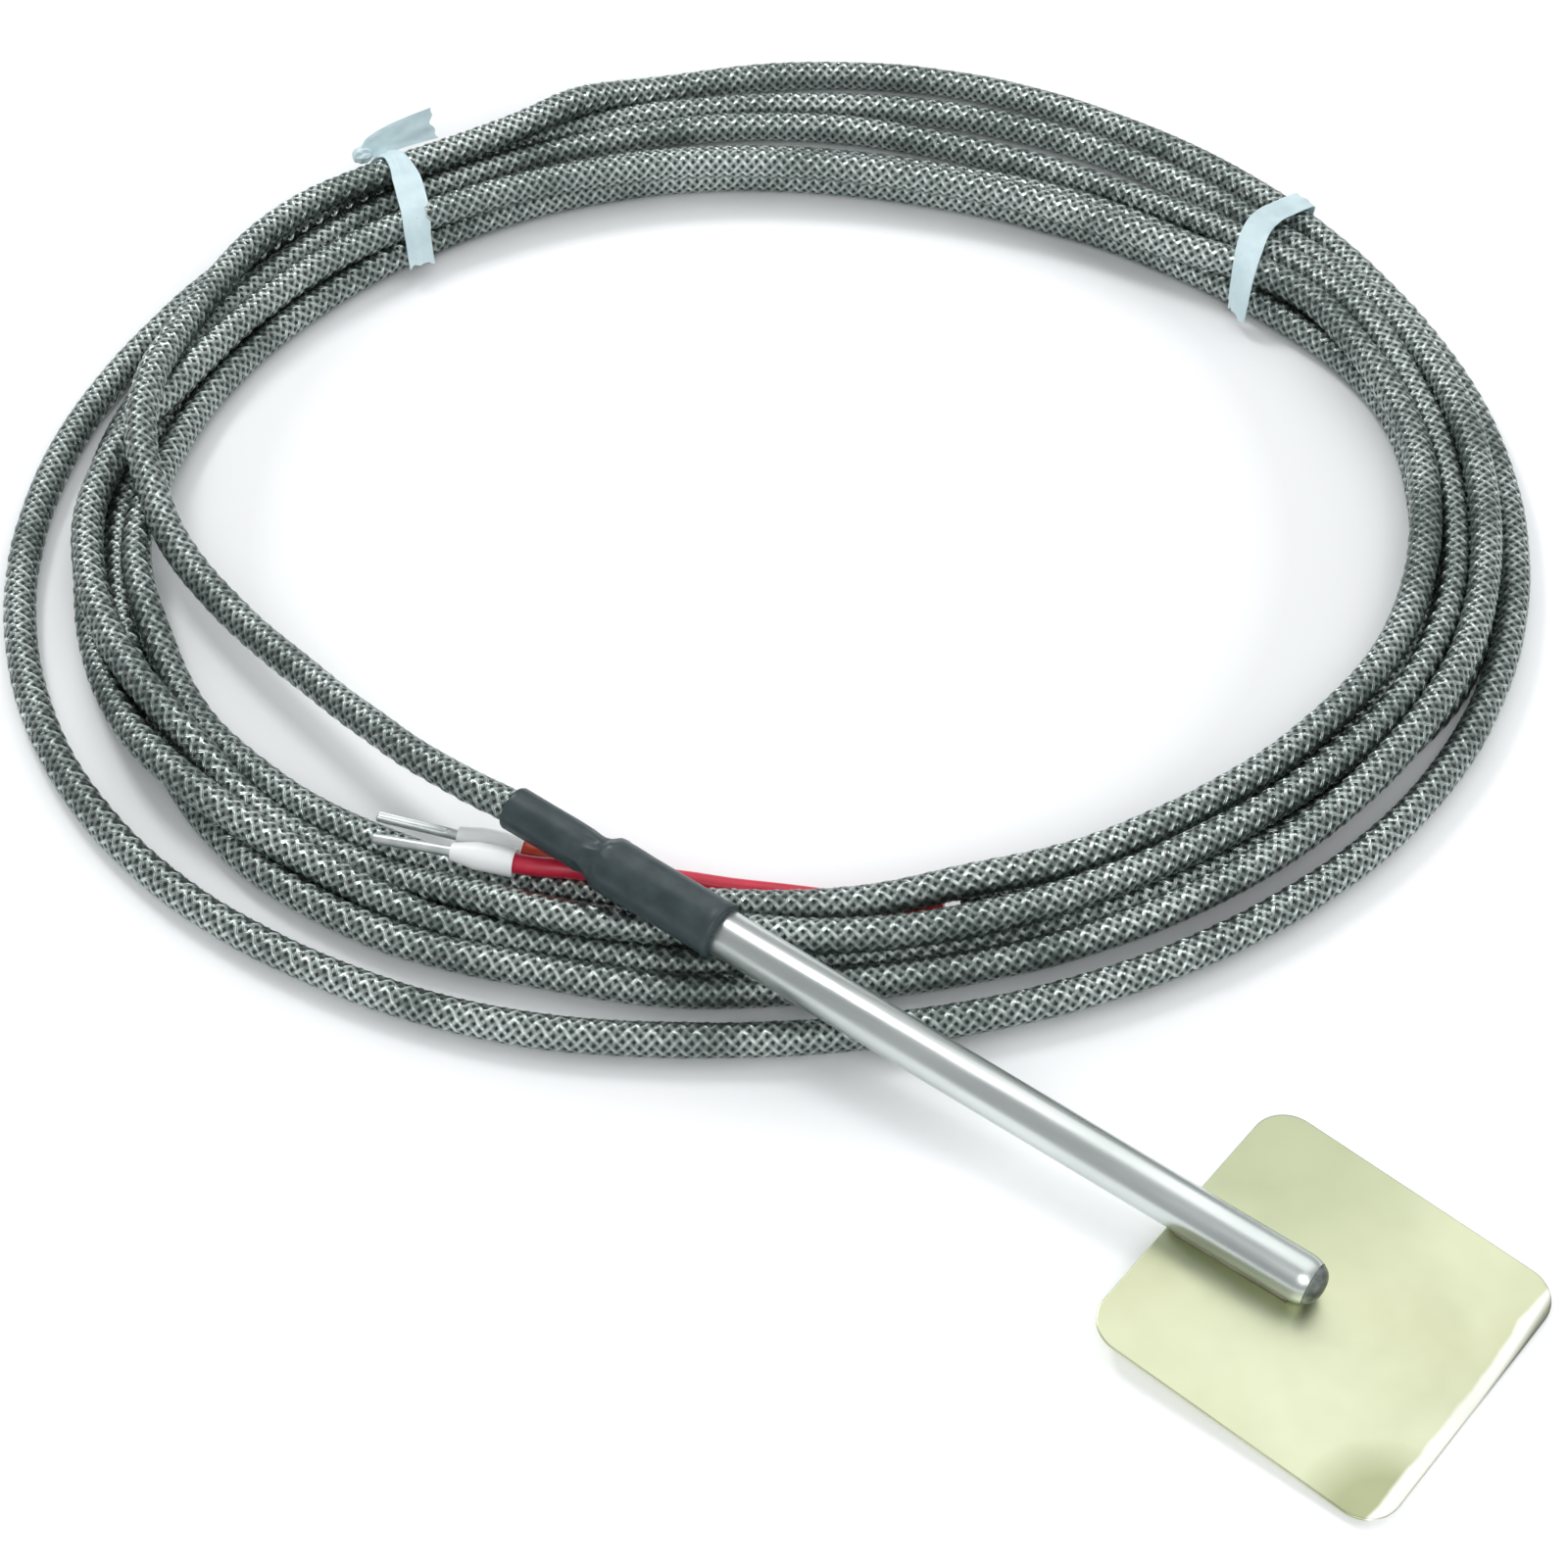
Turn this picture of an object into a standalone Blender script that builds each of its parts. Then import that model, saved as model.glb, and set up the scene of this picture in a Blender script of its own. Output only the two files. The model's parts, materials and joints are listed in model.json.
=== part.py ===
"""Surface thermocouple: a brass contact plate on a steel sheath, with a braided cable in a loose coil.

Metres, +Z up. The origin is the centre of the contact plate's underside and +X runs along the
probe towards its tip. The probe leans on the cable, so it slopes by PROBE_TILT and the plate
touches the table with its front edge, at FLOOR_Z.
"""
import math

import bmesh
import bpy
from mathutils import Matrix, Vector

MM = 0.001

# Contact plate and how the probe lies
PLATE_SIDE = 40 * MM
PLATE_THICK = 0.4 * MM
PLATE_CORNER = 4.5 * MM
PLATE_YAW = math.radians(-4)
LIP_DEPTH = 4.5 * MM
LIP_DROP = 0.5 * MM
PROBE_TILT = math.radians(3.5)
FLOOR_Z = -1.72 * MM

# Sheath: a steel tube closed by a welded dome
SHEATH_OD = 6 * MM
SHEATH_ID = 5 * MM
SHEATH_LENGTH = 100 * MM
TIP_X = -0.8 * MM
DOME_LENGTH = 3.1 * MM
SPIGOT_LENGTH = 2.8 * MM
AXIS_Z = PLATE_THICK + SHEATH_OD / 2 + 0.15 * MM
SHEATH_REAR_X = TIP_X - SHEATH_LENGTH
FIT = 0.2 * MM

# Solder bead between the plate and the sheath
SOLDER_FRONT_X = -4 * MM
SOLDER_REAR_X = -19 * MM
SOLDER_HALF_WIDTH = 1.9 * MM
SOLDER_GAP = 0.05 * MM

# Thermoelement inside the sheath
JUNCTION_X = -9.2 * MM
WIRE_DIAMETER = 0.9 * MM
WIRE_SPACING = 2.2 * MM
BEAD_COUNT = 5
BEAD_LENGTH = 12 * MM
BEAD_GAP = 0.3 * MM
BEAD_OD = 4.4 * MM
BORE_DIAMETER = 1.3 * MM
FIRST_BEAD_X = -11.5 * MM
SPLICE_FRONT_X = -74.5 * MM
SPLICE_LENGTH = 7 * MM
SPLICE_OD = 1.9 * MM
CORE_OD = 1.9 * MM
POTTING_LENGTH = 12 * MM
POTTING_FRONT_X = SHEATH_REAR_X + POTTING_LENGTH

# Shrink sleeve over the sheath's rear end and the cable
SLEEVE_FRONT_X = TIP_X - 83.6 * MM
SLEEVE_REAR_X = TIP_X - 115.5 * MM
SLEEVE_WALL = 0.45 * MM

# Braided cable
CABLE_OD = 4.5 * MM
CABLE_REST = CABLE_OD / 2 + 0.05 * MM
CABLE_START_X = SHEATH_REAR_X - 0.6 * MM
COIL_CENTRE = Vector((-126.8, 70.9, 0)) * MM
COIL_LIFT = 0.4 * MM
# Route from the sleeve to the coil, in millimetres, heights above the table
LEAD_IN_ROUTE = [
    (-121.5, -0.2, 12.2), (-127.6, 0.3, 11.4), (-133.7, 1.0, 10.6), (-139.9, 2.2, 9.8),
    (-146.4, 3.5, 8.9), (-152.9, 5.1, 8.0), (-159.9, 6.7, 7.2), (-166.9, 8.4, 6.6),
    (-174.2, 10.5, 6.4), (-181.4, 12.9, 6.6), (-187.4, 15.4, 7.4), (-192.7, 18.8, 8.6),
    (-197.7, 22.7, 9.9), (-202.3, 27.9, 10.5), (-206.6, 35.0, 10.0), (-210.4, 43.1, 8.6),
    (-213.5, 51.5, 7.4), (-215.6, 59.7, 7.1), (-216.7, 68.0, 7.0),
]
# Loose outer turn: degrees round the coil and radius in millimetres, lying on the table
OUTER_TURN = [
    (-10.0, 97.7), (-22.5, 95.2), (-45.0, 92.5), (-67.5, 94.7), (-90.0, 99.1), (-112.5, 103.1),
    (-135.0, 102.5), (-148.0, 99.9), (-155.0, 98.2),
]
# The coil's outer shape: degrees round the coil, inner and outer radius and height in millimetres
COIL_SHAPE = [
    (175.0, 73.8, 93.8, 8.8), (165.0, 71.6, 91.8, 9.0), (150.0, 69.0, 89.6, 8.2),
    (135.0, 67.2, 94.1, 7.8), (120.0, 66.2, 96.9, 7.8), (105.0, 67.0, 98.8, 7.8),
    (90.0, 69.9, 99.5, 7.9), (75.0, 75.0, 100.6, 8.4), (60.0, 82.8, 101.6, 8.5),
    (45.0, 87.2, 103.3, 8.7), (30.0, 87.0, 104.2, 8.8), (15.0, 84.8, 103.9, 8.6),
    (0.0, 81.2, 102.0, 8.2), (-8.0, 78.8, 100.3, 8.1), (-9.0, 78.6, 94.0, 8.1),
    (-22.5, 75.6, 90.8, 8.0), (-45.0, 72.5, 87.5, 6.2), (-62.0, 71.9, 87.5, 5.6),
    (-68.0, 72.2, 88.2, 4.3), (-90.0, 76.2, 92.3, 4.3), (-112.0, 81.0, 94.8, 4.6),
    (-135.0, 84.2, 95.4, 5.2), (-143.0, 83.2, 95.2, 4.2), (-156.0, 80.4, 95.0, 4.2),
    (-157.5, 80.0, 99.9, 4.2), (-170.0, 77.2, 96.8, 4.2), (-183.0, 74.4, 95.0, 4.2),
    (-184.5, 74.2, 94.8, 8.6),
]
COIL_STEP = 3

# Film ties round the coil: degrees round the coil
TIE_LEFT_AT = 166
TIE_RIGHT_AT = 70
TIE_WIDTH = 3.8 * MM
TIE_THICK = 0.25 * MM
TIE_GAP = 0.3 * MM

# Insulated leads at the cable's free end: routes in millimetres, heights above the table
LEAD_OD = 2.5 * MM
COLLAR_OD = 3.4 * MM
COLLAR_TIP_OD = 2.2 * MM
PIN_OD = 1.4 * MM
LEADS = {
    "positive": {
        "route": [
            (-82.0, 16.0, 1.3), (-86.5, 13.9, 1.3), (-91.5, 11.4, 1.4), (-96.5, 8.3, 2.0),
            (-100.8, 4.7, 3.6), (-104.5, 1.4, 5.5), (-107.5, -0.8, 6.3), (-110.5, -2.5, 6.5),
            (-113.0, -3.6, 6.4),
        ],
        "collar": [(-113.3, -3.7, 6.4), (-120.8, -6.6, 6.3)],
        "pin_tip": (-130.5, -10.4, 6.2),
        "colour": (0.62, 0.03, 0.05),
    },
    "negative": {
        "route": [
            (-81.6, 19.4, 1.3), (-86.0, 17.6, 1.3), (-91.0, 15.0, 1.3), (-96.0, 11.9, 1.5),
            (-100.6, 8.6, 2.2), (-104.6, 5.4, 3.3), (-108.2, 2.8, 4.4), (-111.6, 0.9, 4.9),
            (-114.4, -0.2, 5.0),
        ],
        "collar": [(-114.7, -0.3, 5.0), (-122.7, -3.0, 5.2)],
        "pin_tip": (-133.0, -6.5, 5.4),
        "colour": (0.72, 0.10, 0.04),
    },
}

ROUND_STEPS = 40
FINE_STEPS = 20


def clear_scene():
    for item in list(bpy.data.objects):
        bpy.data.objects.remove(item, do_unlink=True)


def material(name, colour, roughness, metallic=0.0):
    made = bpy.data.materials.new(name)
    made.use_nodes = True
    shader = made.node_tree.nodes["Principled BSDF"]
    shader.inputs["Base Color"].default_value = (*colour, 1)
    shader.inputs["Roughness"].default_value = roughness
    shader.inputs["Metallic"].default_value = metallic
    return made


def add_object(name, data, finish, parent=None):
    item = bpy.data.objects.new(name, data)
    bpy.context.scene.collection.objects.link(item)
    data.materials.append(finish)
    item.parent = parent
    return item


def finish_mesh(work, name, smooth=True):
    bmesh.ops.remove_doubles(work, verts=work.verts, dist=1e-7)
    bmesh.ops.recalc_face_normals(work, faces=work.faces)
    mesh = bpy.data.meshes.new(name)
    work.to_mesh(mesh)
    work.free()
    if smooth:
        mesh.shade_smooth()
        mesh.set_sharp_from_angle(angle=math.radians(35))
    return mesh


def turned(name, profile, finish, parent, y=0.0, closed=True, steps=ROUND_STEPS):
    """Solid of revolution about a line along X through (y, AXIS_Z); profile points are (x, radius)."""
    work = bmesh.new()
    corners = [work.verts.new((x, 0, radius)) for x, radius in profile]
    edges = [work.edges.new(pair) for pair in zip(corners, corners[1:])]
    if closed:
        edges.append(work.edges.new((corners[-1], corners[0])))
    bmesh.ops.spin(
        work, geom=corners + edges, cent=(0, 0, 0), axis=(1, 0, 0),
        angle=math.tau, steps=steps, use_merge=True,
    )
    item = add_object(name, finish_mesh(work, name), finish, parent)
    item.location = (0, y, AXIS_Z)
    return item


def arc(centre_x, centre_r, radius_x, radius_r, start, end, count):
    """Points of an elliptical arc in a profile, angles in degrees from +X towards the radius."""
    turn = [math.radians(start + (end - start) * i / count) for i in range(count + 1)]
    return [(centre_x + radius_x * math.cos(a), centre_r + radius_r * math.sin(a)) for a in turn]


def smooth_route(points, spacing):
    """Points at an even spacing on a Catmull-Rom curve through the route."""
    ends = [points[0] * 2 - points[1], *points, points[-1] * 2 - points[-2]]
    dense = []
    for a, b, c, d in zip(ends, ends[1:], ends[2:], ends[3:]):
        for i in range(16):
            t = i / 16
            dense.append(0.5 * (
                2 * b + (c - a) * t + (2 * a - 5 * b + 4 * c - d) * t * t
                + (3 * b - a - 3 * c + d) * t * t * t
            ))
    dense.append(points[-1])
    length = sum((q - p).length for p, q in zip(dense, dense[1:]))
    count = max(2, round(length / spacing))
    picked = [dense[0]]
    walked = 0.0
    for p, q in zip(dense, dense[1:]):
        walked += (q - p).length
        if walked >= length * len(picked) / count and len(picked) < count:
            picked.append(q)
    return [*picked, dense[-1]]


def tube(name, points, diameter, resolution, finish):
    curve = bpy.data.curves.new(name, "CURVE")
    curve.dimensions = "3D"
    curve.bevel_depth = diameter / 2
    curve.bevel_resolution = resolution
    curve.use_fill_caps = True
    spline = curve.splines.new("POLY")
    spline.points.add(len(points) - 1)
    for knot, point in zip(spline.points, points):
        knot.co = (*point, 1)
    return add_object(name, curve, finish)


def above_table(x, y, height):
    return Vector((x * MM, y * MM, height * MM + FLOOR_Z))


def round_coil(degrees, radius, height):
    """A point on the coil: angle from +X, radius and height above the table in millimetres."""
    angle = math.radians(degrees)
    place = Vector((math.cos(angle), math.sin(angle), 0)) * radius * MM
    return COIL_CENTRE + place + Vector((0, 0, height * MM + FLOOR_Z))


def on_probe_axis(x):
    return Matrix.Rotation(PROBE_TILT, 3, "Y") @ Vector((x, 0, AXIS_Z))


def probe_frame():
    frame = bpy.data.objects.new("probe_frame", None)
    bpy.context.scene.collection.objects.link(frame)
    frame.rotation_euler = (0, PROBE_TILT, 0)
    return frame


def rounded_square(side, radius, per_corner):
    half = side / 2 - radius
    outline = []
    for corner, (sx, sy) in enumerate(((1, 1), (-1, 1), (-1, -1), (1, -1))):
        for i in range(per_corner + 1):
            a = math.radians(90 * (corner + i / per_corner))
            outline.append((sx * half + radius * math.cos(a), sy * half + radius * math.sin(a)))
    return outline


def lip_drop(x, y):
    """How far the plate's front edge curls down, most at its middle."""
    reach = max(0.0, (x - PLATE_SIDE / 2 + LIP_DEPTH) / LIP_DEPTH)
    across = math.cos(math.pi * y / (PLATE_SIDE * 1.1))
    return LIP_DROP * reach * reach * max(0.0, across)


def contact_plate(finish, parent):
    work = bmesh.new()
    outline = [work.verts.new((x, y, 0)) for x, y in rounded_square(PLATE_SIDE, PLATE_CORNER, 6)]
    work.faces.new(outline)
    cuts = [PLATE_SIDE / 2 - LIP_DEPTH * i / 4 for i in range(1, 5)]
    for x in cuts:
        geometry = work.verts[:] + work.edges[:] + work.faces[:]
        bmesh.ops.bisect_plane(work, geom=geometry, plane_co=(x, 0, 0), plane_no=(1, 0, 0))
    for i in range(-2, 3):
        geometry = work.verts[:] + work.edges[:] + work.faces[:]
        place = (0, PLATE_SIDE * i / 6, 0)
        bmesh.ops.bisect_plane(work, geom=geometry, plane_co=place, plane_no=(0, 1, 0))
    bmesh.ops.triangulate(work, faces=work.faces[:])
    top = bmesh.ops.extrude_face_region(work, geom=work.faces[:])["geom"]
    raised = [v for v in top if isinstance(v, bmesh.types.BMVert)]
    bmesh.ops.translate(work, verts=raised, vec=(0, 0, PLATE_THICK))
    for v in work.verts:
        v.co.z -= lip_drop(v.co.x, v.co.y)
    item = add_object("contact_plate", finish_mesh(work, "contact_plate"), finish, parent)
    item.rotation_euler = (0, 0, PLATE_YAW)
    return item


def solder_joint(finish, parent):
    """A bead that fills the wedge on both sides of the line where the sheath lies on the plate."""
    low = PLATE_THICK + SOLDER_GAP
    radius = SHEATH_OD / 2 + SOLDER_GAP
    reach = math.asin(SOLDER_HALF_WIDTH * 0.86 / radius)
    outline = [(SOLDER_HALF_WIDTH, low), (-SOLDER_HALF_WIDTH, low)]
    for i in range(11):
        a = -reach + 2 * reach * i / 10
        outline.append((radius * math.sin(a), AXIS_Z - radius * math.cos(a)))
    work = bmesh.new()
    face = work.faces.new([work.verts.new((SOLDER_REAR_X, y, z)) for y, z in outline])
    moved = bmesh.ops.extrude_face_region(work, geom=[face])["geom"]
    verts = [v for v in moved if isinstance(v, bmesh.types.BMVert)]
    bmesh.ops.translate(work, verts=verts, vec=(SOLDER_FRONT_X - SOLDER_REAR_X, 0, 0))
    add_object("solder_joint", finish_mesh(work, "solder_joint"), finish, parent)


def sheath(steel, weld, parent):
    outer = SHEATH_OD / 2
    inner = SHEATH_ID / 2
    front = TIP_X - DOME_LENGTH
    dome = arc(front, 0, DOME_LENGTH, outer, 0, 90, 10)
    spigot = [(front, inner - FIT), (front - SPIGOT_LENGTH, inner - FIT), (front - SPIGOT_LENGTH, 0)]
    turned("sheath_tip", dome + spigot, weld, parent, closed=False)
    tube_front = front - FIT / 4
    bore = [(SHEATH_REAR_X, inner), (tube_front, inner), (tube_front, outer), (SHEATH_REAR_X, outer)]
    turned("sheath_tube", bore, steel, parent)


def thermoelement(metals, bead, parent):
    junction = arc(JUNCTION_X, 0, 1.0 * MM, 1.7 * MM, 0, 180, 10)
    turned("hot_junction", junction, metals["weld"], parent, closed=False, steps=FINE_STEPS)
    front = JUNCTION_X - 1.0 * MM
    for side, pole in ((1, "positive"), (-1, "negative")):
        rear = SPLICE_FRONT_X - SPLICE_LENGTH * 0.45
        wire = [(front, 0), (front, WIRE_DIAMETER / 2), (rear, WIRE_DIAMETER / 2), (rear, 0)]
        turned(f"wire_{pole}", wire, metals[pole], parent, side * WIRE_SPACING / 2, False, FINE_STEPS)
    for number in range(BEAD_COUNT):
        x = FIRST_BEAD_X - number * (BEAD_LENGTH + BEAD_GAP)
        twin_bore(f"insulator_bead_{number + 1}", x, BEAD_LENGTH, BEAD_OD, BORE_DIAMETER, bead, parent)


def twin_bore(name, front, length, diameter, bore, finish, parent):
    """A round plug with two through bores for the conductors."""
    chamfer = diameter * 0.06
    r = diameter / 2
    rear = front - length
    profile = [
        (front, 0), (front, r - chamfer), (front - chamfer, r),
        (rear + chamfer, r), (rear, r - chamfer), (rear, 0),
    ]
    plug = turned(name, profile, finish, parent, closed=False)
    for side in (1, -1):
        hole = [(front + length / 9, 0), (front + length / 9, bore / 2),
                (rear - length / 9, bore / 2), (rear - length / 9, 0)]
        cutter = turned(f"{name}_bore", hole, finish, parent, side * WIRE_SPACING / 2, False, 16)
        cutter.hide_render = True
        cutter.display_type = "WIRE"
        cut = plug.modifiers.new("bore", "BOOLEAN")
        cut.operation = "DIFFERENCE"
        cut.solver = "EXACT"
        cut.object = cutter


def splices(metals, potting, parent):
    rear = SPLICE_FRONT_X - SPLICE_LENGTH
    conductor = SPLICE_FRONT_X - SPLICE_LENGTH * 0.55
    core_rear = SHEATH_REAR_X - 0.2 * MM
    for side, pole in ((1, "positive"), (-1, "negative")):
        y = side * WIRE_SPACING / 2
        inner = WIRE_DIAMETER / 2 + 0.1 * MM
        crimp = [(rear, inner), (SPLICE_FRONT_X, inner),
                 (SPLICE_FRONT_X, SPLICE_OD / 2), (rear, SPLICE_OD / 2)]
        turned(f"splice_{pole}", crimp, metals["crimp"], parent, y, True, FINE_STEPS)
        core = [
            (conductor, 0), (conductor, WIRE_DIAMETER / 2), (rear - BEAD_GAP, WIRE_DIAMETER / 2),
            (rear - BEAD_GAP, CORE_OD / 2), (core_rear, CORE_OD / 2), (core_rear, 0),
        ]
        turned(f"core_{pole}", core, metals["insulation"], parent, y, False, FINE_STEPS)
    twin_bore("potting_plug", POTTING_FRONT_X, POTTING_LENGTH, SHEATH_ID - FIT, CORE_OD + 0.2 * MM,
              potting, parent)


def shrink_sleeve(finish, parent):
    """Shrunk down on the sheath in front and on the thinner cable behind, with a pinched neck."""
    big = SHEATH_OD / 2 + 0.15 * MM
    small = CABLE_OD / 2 + 0.12 * MM
    neck = SHEATH_REAR_X - 0.3 * MM
    outer = [
        (SLEEVE_REAR_X, small + SLEEVE_WALL), (neck - 3.4 * MM, small + SLEEVE_WALL + 0.05 * MM),
        (neck - 2.2 * MM, small + SLEEVE_WALL - 0.02 * MM),
        (neck - 1.2 * MM, small + SLEEVE_WALL + 0.2 * MM),
        (neck + 0.1 * MM, big + SLEEVE_WALL - 0.1 * MM), (neck + 1.4 * MM, big + SLEEVE_WALL),
        (SLEEVE_FRONT_X, big + SLEEVE_WALL),
    ]
    inner = [(SLEEVE_FRONT_X, big), (neck, big), (neck - 0.9 * MM, small), (SLEEVE_REAR_X, small)]
    turned("heat_shrink_sleeve", outer + inner, finish, parent)


def coil_shape_at(degrees):
    stations = sorted(COIL_SHAPE)
    angle = degrees
    while angle < stations[0][0]:
        angle += 360
    while angle > stations[-1][0]:
        angle -= 360
    for low, high in zip(stations, stations[1:]):
        if low[0] <= angle <= high[0]:
            t = (angle - low[0]) / (high[0] - low[0])
            return [p + (q - p) * t for p, q in zip(low[1:], high[1:])]
    return list(stations[0][1:])


def cable_coil(finish):
    """The outer shape of the wound turns, as one ring."""
    base = COIL_LIFT / MM
    chamfer = 1.3
    steps = sorted({station[0] % 360 for station in COIL_SHAPE} | set(range(0, 360, COIL_STEP)))
    work = bmesh.new()
    rings = []
    for degrees in steps:
        inner, outer, top = coil_shape_at(degrees)
        section = [
            (inner + chamfer, base), (outer - chamfer, base), (outer, base + chamfer),
            (outer, top - chamfer), (outer - chamfer, top), (inner + chamfer, top),
            (inner, top - chamfer), (inner, base + chamfer),
        ]
        rings.append([work.verts.new(round_coil(degrees, r, z)) for r, z in section])
    for ring, following in zip(rings, rings[1:] + rings[:1]):
        for i in range(8):
            j = (i + 1) % 8
            work.faces.new((ring[i], following[i], following[j], ring[j]))
    add_object("cable_coil", finish_mesh(work, "cable_coil"), finish)


def cable(braid):
    start = on_probe_axis(CABLE_START_X)
    exit_point = on_probe_axis(SLEEVE_REAR_X)
    inside = [start.lerp(exit_point, t) for t in (0, 0.5, 1)]
    route = inside + [above_table(*point) for point in LEAD_IN_ROUTE]
    tube("cable_lead_in", smooth_route(route, CABLE_OD * 1.6), CABLE_OD, 3, braid)
    turn = [round_coil(angle, radius, CABLE_REST / MM) for angle, radius in OUTER_TURN]
    tube("cable_outer_turn", smooth_route(turn, CABLE_OD * 1.9), CABLE_OD, 3, braid)
    cable_coil(braid)


def film_tie(name, degrees, finish):
    """A strip looped round the coil's section, lying under it on the table."""
    edges = [coil_shape_at(degrees + turn) for turn in (-1.5, 0, 1.5)]
    inner = min(edge[0] for edge in edges) * MM
    outer = max(edge[1] for edge in edges) * MM
    top = max(edge[2] for edge in edges) * MM
    low = TIE_THICK
    high = top + TIE_GAP
    near = inner - TIE_GAP
    far = outer + TIE_GAP
    corner = 1.0 * MM
    outline = [
        (near + corner, low), (far - corner, low), (far, low + corner), (far, high - corner),
        (far - corner, high), (near + corner, high), (near, high - corner), (near, low + corner),
    ]
    middle = Vector(((near + far) / 2, (low + high) / 2))
    work = bmesh.new()
    loops = []
    for shift in (-TIE_WIDTH / 2, TIE_WIDTH / 2):
        for grow in (0.0, TIE_THICK):
            ring = []
            for r, z in outline:
                out_r = r + math.copysign(grow, r - middle.x)
                out_z = z + math.copysign(grow, z - middle.y)
                ring.append(work.verts.new((out_r, shift, out_z + FLOOR_Z)))
            loops.append(ring)
    for a, b in ((0, 1), (1, 3), (3, 2), (2, 0)):
        for i in range(8):
            j = (i + 1) % 8
            work.faces.new((loops[a][i], loops[a][j], loops[b][j], loops[b][i]))
    spin = Matrix.Translation(COIL_CENTRE) @ Matrix.Rotation(math.radians(degrees), 4, "Z")
    bmesh.ops.transform(work, matrix=spin, verts=work.verts)
    add_object(name, finish_mesh(work, name), finish)


def cone(name, start, end, radius_start, radius_end, finish, blunt=0.0):
    """A round piece from start to end, its last stretch tapered to radius_end."""
    along = end - start
    turn = along.to_track_quat("Z", "Y").to_matrix()
    knee = along.length * (1 - blunt)
    profile = [(0, 0), (0, radius_start), (knee, radius_start), (along.length, radius_end), (along.length, 0)]
    work = bmesh.new()
    corners = [work.verts.new((radius, 0, z)) for z, radius in profile]
    edges = [work.edges.new(pair) for pair in zip(corners, corners[1:])]
    bmesh.ops.spin(
        work, geom=corners + edges, cent=(0, 0, 0), axis=(0, 0, 1),
        angle=math.tau, steps=FINE_STEPS, use_merge=True,
    )
    mesh = finish_mesh(work, name)
    mesh.transform(Matrix.Translation(start) @ turn.to_4x4())
    add_object(name, mesh, finish)


def leads(collar_finish, tin):
    for pole, lead in LEADS.items():
        insulation = material(f"{pole}_insulation", lead["colour"], 0.45)
        route = [above_table(*point) for point in lead["route"]]
        tube(f"lead_{pole}", smooth_route(route, LEAD_OD * 1.6), LEAD_OD, 2, insulation)
        start, end = (above_table(*point) for point in lead["collar"])
        cone(f"ferrule_collar_{pole}", start, end, COLLAR_OD / 2, COLLAR_TIP_OD / 2, collar_finish, 0.3)
        tip = above_table(*lead["pin_tip"])
        root = end + (tip - end).normalized() * 0.3 * MM
        cone(f"ferrule_pin_{pole}", root, tip, PIN_OD / 2, PIN_OD * 0.42, tin, 0.06)


def main():
    clear_scene()
    steel = material("sheath_steel", (0.62, 0.64, 0.64), 0.3, 1.0)
    weld = material("tip_weld", (0.28, 0.29, 0.29), 0.5, 1.0)
    brass = material("plate_brass", (0.80, 0.76, 0.50), 0.35, 1.0)
    solder = material("solder", (0.55, 0.50, 0.34), 0.4, 1.0)
    ceramic = material("bead_ceramic", (0.88, 0.86, 0.80), 0.6)
    potting = material("potting_cement", (0.70, 0.66, 0.58), 0.8)
    shrink = material("sleeve_rubber", (0.03, 0.035, 0.04), 0.55)
    braid = material("cable_braid", (0.52, 0.52, 0.49), 0.4, 1.0)
    film = material("tie_film", (0.85, 0.90, 0.93), 0.35)
    collar = material("collar_plastic", (0.90, 0.92, 0.92), 0.4)
    tin = material("pin_tin", (0.72, 0.74, 0.75), 0.3, 1.0)
    metals = {
        "positive": material("positive_alloy", (0.50, 0.48, 0.46), 0.4, 1.0),
        "negative": material("negative_alloy", (0.60, 0.54, 0.46), 0.4, 1.0),
        "weld": weld,
        "crimp": tin,
        "insulation": material("core_insulation", (0.80, 0.76, 0.66), 0.6),
    }
    probe = probe_frame()
    contact_plate(brass, probe)
    solder_joint(solder, probe)
    sheath(steel, weld, probe)
    thermoelement(metals, ceramic, probe)
    splices(metals, potting, probe)
    shrink_sleeve(shrink, probe)
    cable(braid)
    film_tie("tie_left", TIE_LEFT_AT, film)
    film_tie("tie_right", TIE_RIGHT_AT, film)
    leads(collar, tin)


main()
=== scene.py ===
"""Looks of the surface thermocouple: brass plate, steel sheath and a coiled metal-braided cable."""

import json
import math

import bpy
import numpy as np
from mathutils import Matrix, Vector, noise

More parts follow.
